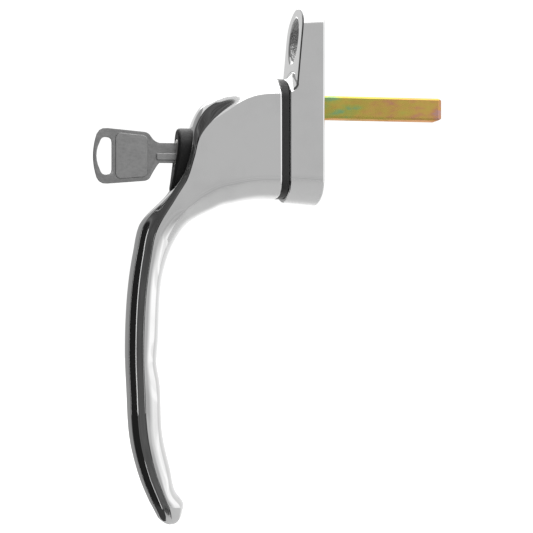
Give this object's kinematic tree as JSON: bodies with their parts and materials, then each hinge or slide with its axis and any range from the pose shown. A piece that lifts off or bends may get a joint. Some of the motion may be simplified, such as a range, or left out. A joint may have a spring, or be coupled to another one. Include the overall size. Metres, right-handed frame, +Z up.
{
  "type": "espagnolette window handle",
  "caption": "Chromed inline window handle with a cranked lever that turns on a sloping base, a key lock in a black surround with its key, and a square spindle behind.",
  "frame": {"origin": "on the spindle axis at the back face of the base, midway between the two fixing screws", "axes": "+Y along the spindle into the window, -Y toward the room, +Z up with the lever hanging toward -Z"},
  "size_m": [0.0256, 0.1104, 0.1619],
  "materials": {
    "base_chrome": "bright chrome plate on a zinc casting",
    "lever_chrome": "bright chrome plate on a zinc casting",
    "gasket_black": "matt moulded",
    "surround_black": "satin moulded",
    "spindle_passivate": "yellow passivated zinc plate",
    "bush_steel": "turned",
    "spring_steel": "spring temper",
    "washer_steel": "bright zinc plate",
    "clip_steel": "phosphate black",
    "pin_steel": "ground",
    "barrel_zinc": "as cast",
    "plug_nickel": "nickel plate",
    "wafer_brass": "stamped",
    "slide_steel": "stamped",
    "key_steel": "stamped, satin nickel"
  },
  "bodies": {
    "base": {"base_plate": "base_chrome", "base_bush": "bush_steel", "wave_washer": "spring_steel"},
    "lever": {"lever": "lever_chrome", "lever_gasket": "gasket_black", "thrust_washer": "washer_steel", "retaining_circlip": "clip_steel", "spindle": "spindle_passivate", "spindle_pin": "pin_steel", "lock_surround": "surround_black", "lock_barrel": "barrel_zinc", "barrel_pin": "pin_steel"},
    "plug": {"lock_plug": "plug_nickel", "plug_clip": "clip_steel", "cam_pin": "pin_steel", "wafer_springs": "spring_steel"},
    "wafers": {"plug_wafers": "wafer_brass"},
    "slide": {"lock_slide": "slide_steel"},
    "key": {"key": "key_steel"}
  },
  "joints": [
    {"name": "lever_turn", "type": "hinge", "parent": "base", "child": "lever", "pos_m": [0, 0, 0], "axis": [0, 1, 0], "range_deg": [-90, 90]},
    {"name": "key_turn", "type": "hinge", "parent": "lever", "child": "plug", "pos_m": [0, -0.03, -0.015], "axis": [0, -1, 0], "range_deg": [0, 90]},
    {"name": "slide_lift", "type": "slide", "parent": "lever", "child": "slide", "axis": [0, 0, 1], "range_m": [0, 0.00156]},
    {"name": "key_draw", "type": "slide", "parent": "plug", "child": "key", "axis": [0, -1, 0], "range_m": [0, 0.026]},
    {"name": "wafer_fall", "type": "slide", "parent": "plug", "child": "wafers", "axis": [0, 0, -1], "range_m": [0, 0.0006], "deforming": ["wafer_springs"]}
  ],
  "couplings": [
    {"joint": "key_turn", "follows": "slide_lift", "rad_per_m": 1009.8},
    {"joint": "wafer_fall", "follows": "key_draw", "ratio": 0.023077}
  ]
}
